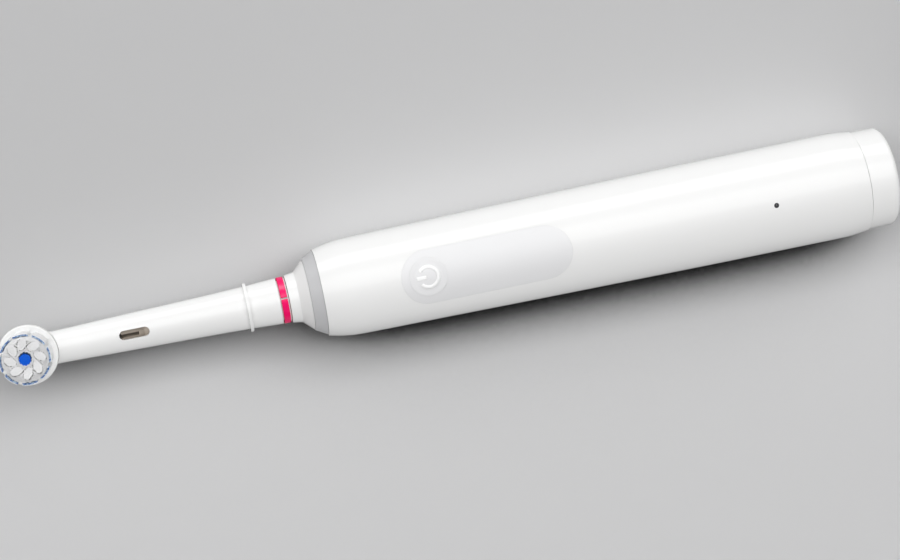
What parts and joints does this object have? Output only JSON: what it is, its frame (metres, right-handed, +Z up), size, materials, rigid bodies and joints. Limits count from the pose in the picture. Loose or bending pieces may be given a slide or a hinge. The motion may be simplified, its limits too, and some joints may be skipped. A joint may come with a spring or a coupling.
{
  "type": "electric toothbrush",
  "caption": "Slim white electric toothbrush lying on its back, with a soft front pad, a button, a pull-off neck and a round oscillating bristle head.",
  "frame": {"origin": "under the middle of the brush, on the surface that its back lies on", "axes": "+X along the brush from the bristle head to the base, +Z up through the front with the button, +Y across the brush"},
  "size_m": [0.2376, 0.028, 0.0286],
  "materials": {
    "white_plastic": "polished moulded plastic",
    "soft_grip": "satin overmoulded elastomer",
    "frosted_plastic": "frosted, lets light through",
    "smoked_lens": "dark clear plastic",
    "rose_plastic": "dyed moulded plastic",
    "beige_plastic": "plain engineering plastic",
    "grey_nylon": "moulded nylon",
    "black_rubber": "plain",
    "steel": "bright",
    "brass": "machined",
    "copper_wire": "enamelled copper wire",
    "board_laminate": "green laminate",
    "black_epoxy": "moulded package",
    "cell_sleeve": "plain shrink sleeve over steel",
    "blue_nylon": "bristle filament",
    "white_nylon": "bristle filament"
  },
  "bodies": {
    "handle": {"handle_shell": "white_plastic", "grip_pad": "soft_grip", "rear_grip": "soft_grip", "status_lens": "smoked_lens", "charge_light": "black_epoxy", "base_cap": "white_plastic", "cap_seal": "black_rubber", "coil_bobbin": "grey_nylon", "charging_coil": "copper_wire", "chassis": "grey_nylon", "battery": "cell_sleeve", "battery_tab_rear": "steel", "battery_tab_front": "steel", "circuit_board": "board_laminate", "board_screw_rear": "steel", "board_screw_front": "steel", "button_switch": "black_epoxy", "tilt_pin_left": "steel", "tilt_pin_right": "steel", "pressure_spring": "steel", "light_ring": "frosted_plastic", "neck_collar": "white_plastic", "neck_seal": "black_rubber"},
    "button": {"power_button": "soft_grip"},
    "drive_unit": {"drive_frame": "grey_nylon", "motor_can": "steel", "motor_cap": "grey_nylon", "motor_screw_left": "steel", "motor_screw_right": "steel", "gear_axle": "steel", "rear_bearing": "brass", "front_bearing": "brass", "sensor_magnet": "black_rubber"},
    "rotor": {"motor_shaft": "steel", "pinion": "brass"},
    "crank": {"crank_gear": "brass"},
    "link": {"link": "grey_nylon"},
    "shaft": {"drive_shaft": "steel", "rocker_arm": "grey_nylon"},
    "brush_head": {"head_tube": "white_plastic", "id_ring": "rose_plastic", "socket_sleeve": "grey_nylon", "head_pivot_pin": "steel"},
    "coupler": {"drive_coupler": "beige_plastic", "crank_rod": "steel"},
    "carrier": {"bristle_carrier": "white_plastic", "centre_tuft": "blue_nylon", "petal_tufts": "white_nylon", "outer_tufts": "blue_nylon"}
  },
  "joints": [
    {"name": "button_press", "type": "slide", "parent": "handle", "child": "button", "axis": [0, 0, -1], "range_m": [0, 0.0006], "stiffness_N_per_m": 600},
    {"name": "pressure_tilt", "type": "hinge", "parent": "handle", "child": "drive_unit", "pos_m": [0.002, 0, 0.0146], "axis": [0, 1, 0], "range_deg": [-0.5, 0], "stiffness_Nm_per_rad": 12},
    {"name": "crank_spin", "type": "hinge", "parent": "drive_unit", "child": "crank", "pos_m": [0.015, 0, 0.01], "axis": [1, 0, 0], "continuous": true},
    {"name": "motor_spin", "type": "hinge", "parent": "drive_unit", "child": "rotor", "pos_m": [0.015, 0, 0.0157], "axis": [1, 0, 0], "continuous": true},
    {"name": "link_turn", "type": "hinge", "parent": "crank", "child": "link", "pos_m": [0.0121, -0.00089, 0.00919], "axis": [1, 0, 0], "continuous": true},
    {"name": "shaft_swing", "type": "hinge", "parent": "drive_unit", "child": "shaft", "pos_m": [0.0103, 0, 0.0146], "axis": [1, 0, 0], "range_deg": [-22, 22]},
    {"name": "head_pull", "type": "slide", "parent": "drive_unit", "child": "brush_head", "axis": [-1, 0, 0], "range_m": [0, 0.028]},
    {"name": "coupler_swing", "type": "hinge", "parent": "brush_head", "child": "coupler", "pos_m": [-0.0572, 0, 0.0146], "axis": [1, 0, 0], "range_deg": [-22, 22]},
    {"name": "disc_swing", "type": "hinge", "parent": "brush_head", "child": "carrier", "pos_m": [-0.1111, 0, 0.0168], "axis": [0, 0, 1], "range_deg": [-22, 22]}
  ],
  "couplings": [
    {"joint": "motor_spin", "follows": "crank_spin", "ratio": -2.5},
    {"joint": "link_turn", "follows": "crank_spin", "ratio": -1},
    {"joint": "coupler_swing", "follows": "shaft_swing", "ratio": 1},
    {"joint": "disc_swing", "follows": "shaft_swing", "ratio": 1}
  ]
}
